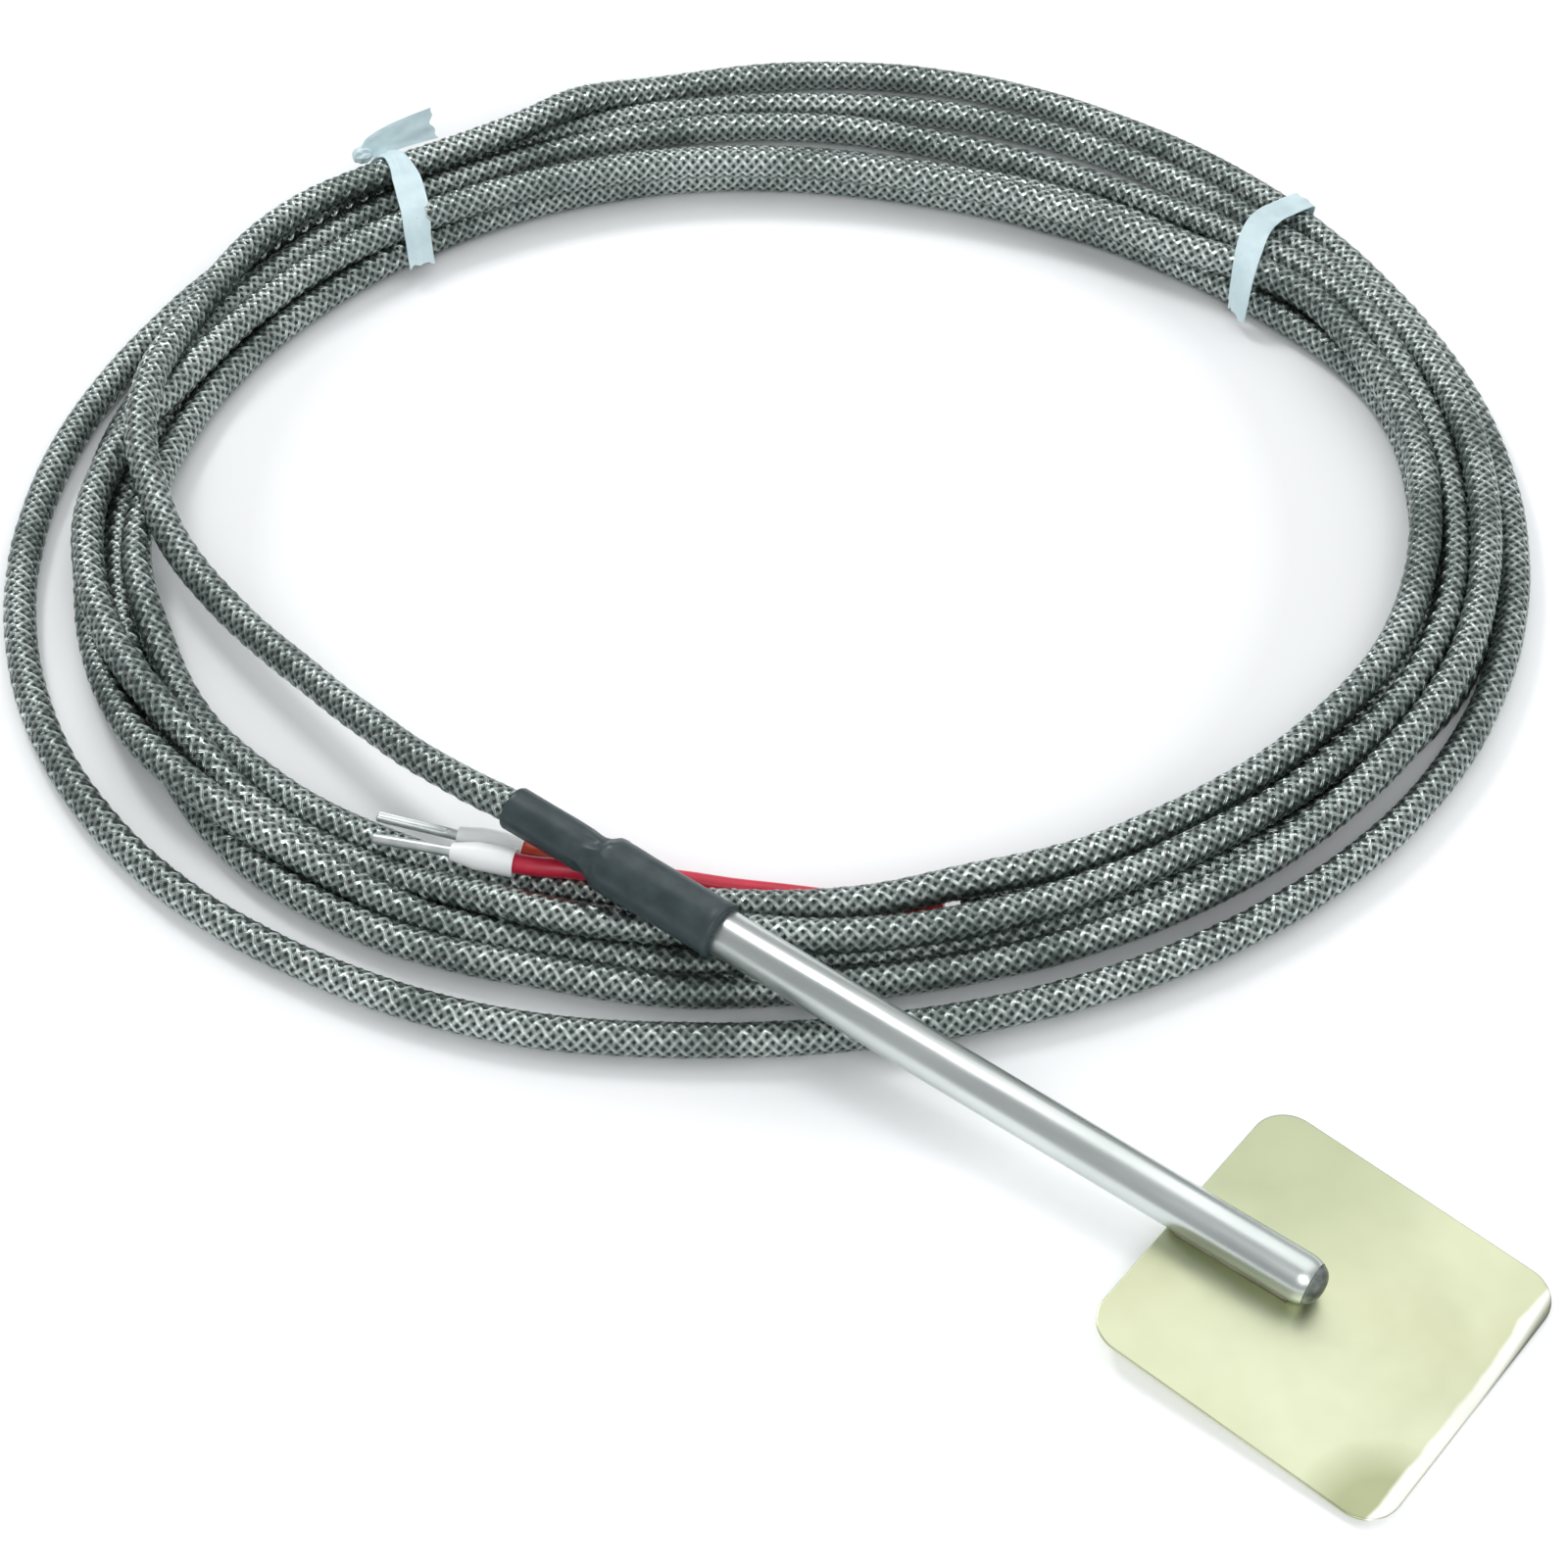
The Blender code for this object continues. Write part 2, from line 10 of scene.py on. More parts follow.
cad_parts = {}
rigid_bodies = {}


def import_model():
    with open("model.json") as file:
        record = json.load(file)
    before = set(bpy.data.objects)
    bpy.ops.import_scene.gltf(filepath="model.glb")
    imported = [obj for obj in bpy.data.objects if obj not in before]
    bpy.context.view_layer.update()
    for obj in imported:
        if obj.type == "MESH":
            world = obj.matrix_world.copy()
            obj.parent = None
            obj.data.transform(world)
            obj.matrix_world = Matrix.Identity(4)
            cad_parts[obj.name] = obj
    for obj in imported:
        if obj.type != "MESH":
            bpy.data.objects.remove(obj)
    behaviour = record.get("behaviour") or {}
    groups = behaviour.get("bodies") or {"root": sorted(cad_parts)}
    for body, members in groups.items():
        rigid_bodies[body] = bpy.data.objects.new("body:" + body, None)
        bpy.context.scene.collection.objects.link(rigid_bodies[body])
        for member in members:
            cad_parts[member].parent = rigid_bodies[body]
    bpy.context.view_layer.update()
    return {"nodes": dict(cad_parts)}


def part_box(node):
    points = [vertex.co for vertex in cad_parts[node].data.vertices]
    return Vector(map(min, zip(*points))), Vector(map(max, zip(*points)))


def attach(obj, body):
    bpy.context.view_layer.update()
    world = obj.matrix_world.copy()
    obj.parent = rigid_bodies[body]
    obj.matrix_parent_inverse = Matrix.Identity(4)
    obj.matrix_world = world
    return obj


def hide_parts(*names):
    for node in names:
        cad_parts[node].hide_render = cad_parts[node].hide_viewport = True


for item in list(bpy.data.objects):
    bpy.data.objects.remove(item, do_unlink=True)
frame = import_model()

MM = 0.001
PROBE_TILT = math.radians(3.5)
FLOOR_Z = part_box("contact_plate")[0].z
TIP_X = -0.8
SHEATH_OD = 6.0
SHEATH_ID = 5.0
SHEATH_LENGTH = 100.0
AXIS_Z = 3.55
# Rounded end of the sheath: its length, the steps along it and the step where the weld begins
CROWN_LENGTH = 3.1
CROWN_STEPS = 40
WELD_STEP = 14
PLATE_SIDE = 40.0
PLATE_THICK = 0.4
PLATE_CORNER = 4.5
PLATE_YAW = math.radians(-4)
LIP_DEPTH = 4.5
LIP_DROP = 0.5

# Camera, in millimetres in the row frame
CAMERA_LENS = 80
CAMERA_PLACE = Vector((72.1, -211.1, 338.7))
CAMERA_AIM = Vector((-96.4, 30.8, -1.3))

# Braid: strands each way round, their spacing along the cable, the share of a strand's width
# left as a gap at each side, the height of a strand and the radius of the valleys
BRAID_STRANDS = 8
BRAID_PITCH = 1.38
BRAID_GAP = 0.22
BRAID_RELIEF = 0.34
BRAID_RADIUS = 2.04
BRAID_COLUMNS = 3 * BRAID_STRANDS
STRAND_EDGE = 0.35
STRAND_WIRES = 5
CABLE_TWIST = 31
UV_PERIOD = 256
# Cable and sleeve
PATH_STEP = 0.5
CABLE_START_X = -101.4
SLEEVE_FRONT_X = -84.4
SLEEVE_REAR_X = -116.3
COIL_CENTRE = Vector((-126.8, 70.9, 0))
# Route from the sleeve to the coil, heights above the table
LEAD_IN_ROUTE = [
    (-121.5, -0.2, 12.2), (-127.6, 0.3, 11.4), (-133.7, 1.0, 10.6), (-139.9, 2.2, 9.8),
    (-146.4, 3.5, 8.9), (-152.9, 5.1, 8.0), (-159.9, 6.7, 7.2), (-166.9, 8.4, 6.6),
    (-174.2, 10.5, 6.4), (-181.4, 12.9, 6.6), (-187.4, 15.4, 7.4), (-192.7, 18.8, 8.6),
    (-197.7, 22.7, 9.9), (-202.3, 27.9, 10.5), (-206.6, 35.0, 10.0), (-210.4, 43.1, 8.6),
    (-213.5, 51.5, 7.4), (-215.6, 59.7, 7.1), (-216.7, 68.0, 7.0),
]
# Turns of the coil in winding order: degrees round the coil, radius and height above the table
COIL_TURNS = [
    [(174, 89.6, 6.6), (166, 87.3, 6.3), (158, 85.7, 6.1), (150, 85.8, 5.5), (142, 88.4, 4.4),
     (135, 91.3, 2.8), (120, 94.6, 2.3), (105, 96.5, 2.3), (90, 97.2, 2.3), (75, 98.3, 2.3),
     (60, 99.3, 2.3), (45, 101.0, 2.3), (30, 101.9, 2.3), (15, 101.6, 2.3), (0, 99.7, 2.3),
     (-15, 96.6, 2.3), (-30, 93.9, 2.3), (-45, 92.5, 2.3), (-60, 93.2, 2.3), (-75, 96.2, 2.3),
     (-90, 99.1, 2.3), (-105, 102.2, 2.3), (-118, 103.5, 2.3), (-135, 102.5, 2.3),
     (-150, 99.4, 2.3), (-165, 95.3, 2.3)],
    [(180, 92.2, 2.3), (166, 89.3, 2.3), (158, 87.1, 2.3), (150, 86.9, 2.3), (135, 86.1, 2.3),
     (120, 87.0, 2.3), (105, 89.0, 2.3), (90, 91.0, 2.3), (75, 92.7, 2.5), (60, 94.2, 5.0),
     (45, 96.4, 6.5), (30, 97.5, 6.6), (15, 97.0, 6.4), (0, 93.7, 5.6), (-15, 90.2, 4.4),
     (-30, 87.2, 3.3), (-45, 85.3, 2.8), (-60, 85.3, 2.5), (-75, 86.9, 2.3), (-90, 90.0, 2.3),
     (-105, 91.9, 2.3), (-120, 89.6, 2.3), (-135, 88.7, 2.3), (-150, 87.8, 2.3), (-165, 85.6, 2.3)],
    [(180, 81.9, 2.3), (165, 79.4, 2.3), (150, 76.1, 2.3), (135, 74.4, 2.3), (120, 73.4, 2.3),
     (105, 74.1, 2.3), (90, 77.8, 2.3), (75, 82.4, 2.3), (60, 89.6, 2.3), (45, 95.6, 2.3),
     (30, 97.4, 2.3), (15, 97.2, 2.3), (0, 91.6, 2.3), (-15, 87.0, 2.3), (-30, 83.0, 2.3),
     (-45, 80.8, 2.3), (-60, 80.8, 2.3), (-75, 82.4, 2.3), (-90, 86.2, 3.0), (-105, 91.2, 5.8),
     (-120, 93.2, 3.8), (-135, 93.1, 2.3), (-150, 92.6, 2.3), (-165, 89.9, 2.3)],
    [(180, 86.9, 2.3), (165, 84.8, 2.3), (150, 82.6, 2.3), (135, 81.7, 2.4), (120, 81.7, 2.3),
     (105, 81.5, 2.3), (90, 83.0, 2.7), (75, 85.2, 3.6), (60, 90.4, 3.6), (45, 93.8, 4.5),
     (30, 93.9, 4.4), (15, 92.7, 5.0), (0, 88.7, 4.9), (-15, 84.8, 5.6), (-30, 82.5, 5.9),
     (-45, 81.0, 6.1), (-60, 80.4, 5.4), (-75, 81.5, 5.0), (-90, 82.6, 2.4), (-105, 86.5, 2.6),
     (-120, 90.5, 6.2), (-135, 92.8, 6.5), (-143, 92.3, 6.3), (-150, 89.8, 6.2), (-157, 86.4, 6.1),
     (-165, 83.6, 6.1)],
    [(180, 79.4, 6.2), (165, 74.6, 6.1), (150, 71.2, 6.0), (135, 69.0, 5.9), (120, 67.9, 5.9),
     (105, 68.6, 5.9), (90, 71.5, 5.9), (75, 76.6, 6.1), (60, 86.9, 6.3), (45, 89.6, 6.4),
     (30, 89.6, 6.3), (15, 87.9, 6.2), (0, 83.6, 6.0), (-15, 79.4, 5.9), (-30, 76.7, 5.8),
     (-45, 74.9, 5.3), (-60, 74.3, 4.8), (-75, 74.7, 3.6), (-90, 78.6, 2.5), (-105, 82.2, 2.3),
     (-120, 85.7, 2.6), (-135, 87.0, 5.2), (-150, 84.4, 3.4), (-165, 81.1, 2.3)],
    [(180, 77.3, 2.3), (165, 74.3, 2.3), (150, 72.1, 2.3), (135, 70.3, 2.3), (120, 69.3, 2.3),
     (105, 70.1, 2.3), (90, 72.8, 2.3), (75, 78.4, 2.3), (60, 85.2, 2.3), (45, 90.2, 2.3),
     (30, 90.2, 2.3), (15, 89.6, 2.3), (0, 85.9, 2.3), (-15, 82.4, 2.3), (-30, 78.6, 2.3),
     (-37, 76.3, 2.3)],
]
COIL_STEP = 5
COIL_REST = 2.3
# Settling of the coil: spacing of the samples, distance kept between passes, how far apart
# along the cable two places are different passes, and how many first samples stay in place
SETTLE_STEP = 2.0
SETTLE_GAP = 4.3
SETTLE_APART = 30
SETTLE_ROUNDS = 500
SETTLE_FIXED = 22
SETTLE_PUSH = 0.15
SLEEVE_CLEAR = 5.9
SLEEVE_INSET = 4
SLEEVE_PUSH = 0.5

# Insulated leads, heights above the table
LEAD_OD = 2.5
LEADS = {
    "positive": {
        "route": [
            (-67.6, 24.3, 1.9), (-71.8, 22.0, 1.4), (-76.6, 19.5, 1.3), (-82.0, 17.0, 1.3),
            (-86.5, 14.8, 1.3), (-91.5, 12.2, 1.4), (-96.5, 9.1, 2.4), (-100.8, 5.2, 4.3),
            (-104.5, 1.7, 6.0), (-107.5, -0.7, 6.9), (-110.5, -2.5, 7.0), (-114.2, -4.1, 7.0),
        ],
        "collar": [(-113.3, -3.7, 7.0), (-120.8, -6.6, 6.9)],
        "pin_tip": (-130.5, -10.4, 6.6),
        "crimped": False,
    },
    "negative": {
        "route": [
            (-66.4, 22.4, 1.9), (-71.0, 18.9, 1.4), (-76.4, 15.9, 1.3), (-82.0, 13.4, 1.3),
            (-86.5, 11.1, 1.3), (-91.5, 8.4, 1.3), (-96.2, 6.0, 1.4), (-100.6, 4.8, 1.8),
            (-104.6, 4.4, 2.9), (-108.2, 2.8, 4.3), (-111.6, 0.9, 4.9), (-115.6, -0.6, 5.0),
        ],
        "collar": [(-114.7, -0.3, 5.0), (-122.7, -3.0, 5.2)],
        "pin_tip": (-133.0, -6.5, 5.4),
        "crimped": True,
    },
}

# Ties: degrees round the coil, radius and height above the table from the outside inwards
TIE_LEFT = [
    (165.6, 91.9, 0.6), (165.6, 92.0, 2.8), (165.4, 91.1, 5.4), (165.2, 89.6, 7.7),
    (165.0, 87.7, 8.8), (165.3, 85.0, 8.8), (166.2, 81.6, 8.5), (167.6, 78.0, 8.8),
    (168.8, 75.2, 8.4), (169.8, 73.4, 6.9), (170.4, 72.3, 5.0), (170.8, 71.6, 3.4),
    (171.0, 71.2, 2.6),
]
TIE_RIGHT = [
    (72.8, 101.4, 0.4), (72.8, 101.6, 2.6), (72.6, 101.0, 4.3), (72.4, 99.2, 5.1),
    (72.1, 96.0, 6.0), (71.5, 92.5, 7.2), (70.4, 88.5, 8.7), (68.9, 85.0, 9.4),
    (67.2, 82.0, 9.2), (65.9, 80.0, 7.9), (65.0, 78.7, 5.9), (64.5, 78.0, 4.0),
    (64.4, 77.8, 2.8),
]
TIE_KNOT = (167.0, 91.0, 8.2)
TIE_TAIL = [(-214.3, 93.6, 7.6), (-212.6, 96.2, 8.3), (-211.0, 98.6, 8.7), (-209.5, 100.9, 9.0)]
TIE_STEP = 0.4
TAIL_STEP = 0.3

# Paper the object lies on, and lamps: name, place in millimetres, power and size in metres
FLOOR_REACH = 3.0
# Radius round the coil centre where the paper's glow is off, a painted shade under the coil
GLOW_RING = 84
LAMPS = [
    ("key", (-90, 400, 620), 2.15, 0.85),
    ("spark", (-560, 200, 520), 1.5, 0.16),
    ("fill", (300, -450, 600), 2.0, 0.5),
]
LAMP_AIM = Vector((-110, 50, 0))


def catmull(knots, values, at):
    """Cubic through the knots, with unequal spacing, read at one or more places."""
    knots = np.asarray(knots, float)
    values = np.asarray(values, float).reshape(len(knots), -1)
    slopes = np.gradient(values, knots, axis=0)
    at = np.atleast_1d(at)
    cell = np.clip(np.searchsorted(knots, at, "right") - 1, 0, len(knots) - 2)
    width = (knots[cell + 1] - knots[cell])[:, None]
    t = (at[:, None] - knots[cell][:, None]) / width
    first = values[cell] * (1 + 2 * t) * (1 - t) ** 2 + slopes[cell] * width * t * (1 - t) ** 2
    last = values[cell + 1] * t * t * (3 - 2 * t) + slopes[cell + 1] * width * t * t * (t - 1)
    return first + last


def smooth(points, spacing):
    """Points at an even spacing on a smooth curve through the route."""
    points = np.asarray(points, float)
    chord = np.concatenate(([0], np.cumsum(np.linalg.norm(np.diff(points, axis=0), axis=1))))
    dense = catmull(chord, points, np.linspace(0, chord[-1], int(chord[-1] / spacing * 4)))
    run = np.concatenate(([0], np.cumsum(np.linalg.norm(np.diff(dense, axis=0), axis=1))))
    even = np.linspace(0, run[-1], int(run[-1] / spacing) + 1)
    return np.stack([np.interp(even, run, dense[:, k]) for k in range(3)], axis=1)


def on_probe_axis(x):
    return Matrix.Rotation(PROBE_TILT, 3, "Y") @ Vector((x, 0, AXIS_Z))


def cable_route():
    """Middle line of the cable from inside the sleeve to its free end."""
    floor = FLOOR_Z / MM
    start = on_probe_axis(CABLE_START_X)
    exit_point = on_probe_axis(SLEEVE_REAR_X)
    route = [tuple(start.lerp(exit_point, t)) for t in (0, 0.5, 1)]
    route += [(x, y, height + floor) for x, y, height in LEAD_IN_ROUTE]
    knots = [(-angle + 360 * turn, radius, height)
             for turn, row in enumerate(COIL_TURNS) for angle, radius, height in row]
    knots = np.array(knots)
    swept = np.arange(knots[0, 0], knots[-1, 0], COIL_STEP)
    swept = np.append(swept, knots[-1, 0])
    read = catmull(knots[:, 0], knots[:, 1:], swept)
    read[:, 1] = np.maximum(read[:, 1], COIL_REST)
    for angle, (radius, height) in zip(np.radians(-swept), read):
        route.append((COIL_CENTRE.x + radius * math.cos(angle),
                      COIL_CENTRE.y + radius * math.sin(angle), height + floor))
    return smooth(settle(route), PATH_STEP)


def off_the_sleeve(path):
    """The move that takes each sample of the coil clear of the sleeve above it."""
    front = np.array(on_probe_axis(SLEEVE_FRONT_X + SLEEVE_INSET))
    axis = np.array(on_probe_axis(SLEEVE_REAR_X)) - front
    run = np.linalg.norm(axis)
    axis /= run
    off = path - front
    along = off @ axis
    radial = off - along[:, None] * axis
    away = np.maximum(np.linalg.norm(radial, axis=1), 0.01)
    under = (along > 0) & (along < run) & (np.arange(len(path)) > 2 * SETTLE_FIXED)
    return radial * (np.maximum(SLEEVE_CLEAR - away, 0) / away * under * SLEEVE_PUSH)[:, None]


def settle(route):
    """The passes of the coil are pushed apart where they would run through each other."""
    path = smooth(route, SETTLE_STEP)
    order = np.arange(len(path))
    apart = np.abs(order[:, None] - order[None]) * SETTLE_STEP > SETTLE_APART
    near = np.linalg.norm(path[:, None] - path[None], axis=2) < 2.5 * SETTLE_GAP
    one, other = np.nonzero(near & apart)
    blur = np.exp(-(np.arange(-8, 9) / 4.0) ** 2)
    blur /= blur.sum()
    for _ in range(SETTLE_ROUNDS):
        between = path[one] - path[other]
        distance = np.maximum(np.linalg.norm(between, axis=1), 0.01)
        push = between * (np.maximum(SETTLE_GAP - distance, 0) / distance * SETTLE_PUSH)[:, None]
        shift = np.stack([np.bincount(one, push[:, k], len(path)) for k in range(3)], axis=1)
        shift += off_the_sleeve(path)
        shift = np.stack([np.convolve(shift[:, k], blur, "same") for k in range(3)], axis=1)
        shift[:SETTLE_FIXED] = 0
        path = path + shift
        path[SETTLE_FIXED:, 2] = np.maximum(path[SETTLE_FIXED:, 2], COIL_REST + FLOOR_Z / MM)
    return path


def carry_frames(path):
    """Directions along and across a path, turned as little as possible from point to point."""
    along = np.gradient(path, axis=0)
    along /= np.linalg.norm(along, axis=1)[:, None]
    across = np.empty_like(along)
    side = np.cross(along[0], (0.0, 0.0, 1.0))
    for i, direction in enumerate(along):
        side = side - direction * np.dot(side, direction)
        side /= np.linalg.norm(side)
        across[i] = side
    return along, across, np.cross(along, across)


def add_piece(name, points, faces, look, replaced=()):
    """A mesh piece from points in millimetres, riding on the probe."""
    mesh = bpy.data.meshes.new(name)
    mesh.from_pydata((np.asarray(points) * MM).tolist(), [], faces)
    mesh.shade_smooth()
    mesh.set_sharp_from_angle(angle=math.radians(50))
    item = bpy.data.objects.new(name, mesh)
    bpy.context.scene.collection.objects.link(item)
    mesh.materials.append(look)
    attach(item, "root")
    if replaced:
        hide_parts(*replaced)
    return item


def grid_faces(rows, columns, wrap=True):
    last = columns if wrap else columns - 1
    return [(r * columns + c, r * columns + (c + 1) % columns,
             (r + 1) * columns + (c + 1) % columns, (r + 1) * columns + c)
            for r in range(rows - 1) for c in range(last)]


def spun(origin, axis, profile, steps=96, shape=None):
    """A closed body of revolution: profile gives distance along the axis and radius."""
    origin, axis = Vector(origin), Vector(axis).normalized()
    side = axis.cross(Vector((0, 0, 1))).normalized()
    up = side.cross(axis)
    points = []
    for x, radius in profile:
        for step in range(steps):
            turn = 2 * math.pi * step / steps
            r = radius if shape is None else shape(x, turn, radius)
            points.append(origin + axis * x + (side * math.cos(turn) + up * math.sin(turn)) * r)
    faces = grid_faces(len(profile), steps)
    faces.append(tuple(range(steps)))
    faces.append(tuple(reversed(range(len(points) - steps, len(points)))))
    return [tuple(p) for p in points], faces


def rounded(profile, spacing):
    """The profile with points added on its long straight runs."""
    out = [profile[0]]
    for (x0, r0), (x1, r1) in zip(profile, profile[1:]):
        count = max(1, round(math.hypot(x1 - x0, r1 - r0) / spacing))
        out += [(x0 + (x1 - x0) * k / count, r0 + (r1 - r0) * k / count)
                for k in range(1, count + 1)]
    return out


def tube(path, radius, steps=40):
    _, across, up = carry_frames(path)
    turn = np.linspace(0, 2 * math.pi, steps, endpoint=False)
    ring = (across[:, None] * np.cos(turn)[None, :, None]
            + up[:, None] * np.sin(turn)[None, :, None]) * radius
    points = (path[:, None] + ring).reshape(-1, 3)
    faces = grid_faces(len(path), steps)
    faces.append(tuple(range(steps)))
    faces.append(tuple(reversed(range(len(points) - steps, len(points)))))
    return points, faces


def wave(phase):
    return np.clip(1.4 * np.cos(math.pi / 2 * phase), -1, 1)


def lattice_place(index):
    """Where a lattice line lies, counted in strand widths: three lines to each strand."""
    return index // 3 + np.array([BRAID_GAP, 0.5, 1 - BRAID_GAP])[index % 3]


def braid_surface(path):
    """Two-over-two braid along the path: points, quads, which quads are holes, and wire lines."""
    step = np.linalg.norm(np.diff(path, axis=0), axis=1).mean()
    length = step * (len(path) - 1)
    columns = BRAID_COLUMNS
    rows = 2 * int(3 * length / BRAID_PITCH)
    row, column = np.meshgrid(np.arange(rows), np.arange(columns), indexing="ij")
    skew = 2 * column + row % 2
    first, second = (row + skew) // 2, (row - skew) // 2
    u, v = lattice_place(first), lattice_place(second)
    k, l = np.floor(u), np.floor(v)
    rise_a = 0.5 * wave(k + v - 1) + 0.5 * (np.where(first % 3 == 1, 1, STRAND_EDGE) - 1)
    rise_b = 0.5 * wave(u + l - 3) + 0.5 * (np.where(second % 3 == 1, 1, STRAND_EDGE) - 1)
    height = np.maximum(rise_a, rise_b)
    rise = BRAID_RELIEF * height
    s = np.clip(BRAID_PITCH * (u + v) / 2, 0, length * 0.99999)
    turn = (u - v) * math.pi / BRAID_STRANDS
    _, across, up = carry_frames(path)
    cell = np.minimum((s / step).astype(int), len(path) - 2)
    t = (s / step - cell)[..., None]
    centre = path[cell] * (1 - t) + path[cell + 1] * t
    side = across[cell] * (1 - t) + across[cell + 1] * t
    top = up[cell] * (1 - t) + up[cell + 1] * t
    lean = turn - s / CABLE_TWIST
    oval = 1 + 0.022 * np.cos(2 * lean) + 0.012 * np.sin(s / 2.7 + 1.3 * np.sin(s / 11))
    radius = (BRAID_RADIUS * oval + rise)[..., None]
    points = centre + radius * (side * np.cos(turn)[..., None] + top * np.sin(turn)[..., None])
    a, b = row[:-2], skew[:-2]

    def vertex(at_row, at_skew):
        return at_row * columns + (at_skew % (2 * columns) - at_row % 2) // 2

    quads = np.stack([vertex(a, b), vertex(a + 1, b - 1), vertex(a + 2, b),
                      vertex(a + 1, b + 1)], axis=-1).reshape(-1, 4)
    i, j = ((a + b) // 2).ravel(), ((a - b) // 2).ravel()
    holes = (i % 3 == 2) & (j % 3 == 2)
    corner_i = np.stack([i, i, i + 1, i + 1], axis=1)
    corner_j = np.stack([j, j + 1, j + 1, j], axis=1)
    cu, cv = lattice_place(corner_i), lattice_place(corner_j)
    mid_k, mid_l = np.floor(cu.mean(axis=1) + 1e-6), np.floor(cv.mean(axis=1) + 1e-6)
    over = ((mid_k + mid_l) % 4 < 2)[:, None]
    lines = np.stack([np.where(over, cu - mid_k[:, None], cv - mid_l[:, None]),
                      np.where(over, cv, cu) % UV_PERIOD], axis=-1)
    return points.reshape(-1, 3), quads, holes, lines, height.ravel()


def braided_cable(path, looks):
    """The braid as one closed mesh, its ends capped with the painted shade of the holes."""
    points, quads, holes, lines, height = braid_surface(path)
    columns = BRAID_COLUMNS
    low, high = len(points) - 2 * columns, len(points) - columns
    start, finish = len(points), len(points) + 1
    ends = np.stack([points[:columns].mean(axis=0), points[-columns:].mean(axis=0)])
    points = np.concatenate([points, ends])
    caps = []
    for c in range(columns):
        n = (c + 1) % columns
        caps += [(start, c, columns + c), (start, columns + c, n),
                 (finish, high + c, low + c), (finish, low + n, high + c)]
    mesh = bpy.data.meshes.new("cable")
    mesh.vertices.add(len(points))
    mesh.vertices.foreach_set("co", (points * MM).astype(np.float32).ravel())
    loops = np.concatenate([quads.ravel(), np.array(caps).ravel()]).astype(np.int32)
    counts = np.concatenate([np.full(len(quads), 4), np.full(len(caps), 3)])
    starts = np.concatenate([[0], np.cumsum(counts)[:-1]]).astype(np.int32)
    mesh.loops.add(len(loops))
    mesh.loops.foreach_set("vertex_index", loops)
    mesh.polygons.add(len(counts))
    mesh.polygons.foreach_set("loop_start", starts)
    # Hole quads and end caps take the second look, a painted shade
    slots = np.concatenate([holes.astype(np.int32), np.ones(len(caps), np.int32)])
    mesh.polygons.foreach_set("material_index", slots)
    mesh.update(calc_edges=True)
    layer = mesh.uv_layers.new(name="wires")
    flat = np.zeros((len(loops), 2), np.float32)
    flat[:quads.size] = lines.reshape(-1, 2)
    layer.data.foreach_set("uv", flat.ravel())
    raised = mesh.attributes.new("raised", "FLOAT", "POINT")
    raised.data.foreach_set("value", np.append(height, [0, 0]).astype(np.float32))
    mesh.shade_smooth()
    mesh.validate()
    item = bpy.data.objects.new("cable", mesh)
    bpy.context.scene.collection.objects.link(item)
    for look in looks:
        mesh.materials.append(look)
    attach(item, "root")
    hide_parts("cable_lead_in", "cable_coil", "cable_outer_turn")
    return item


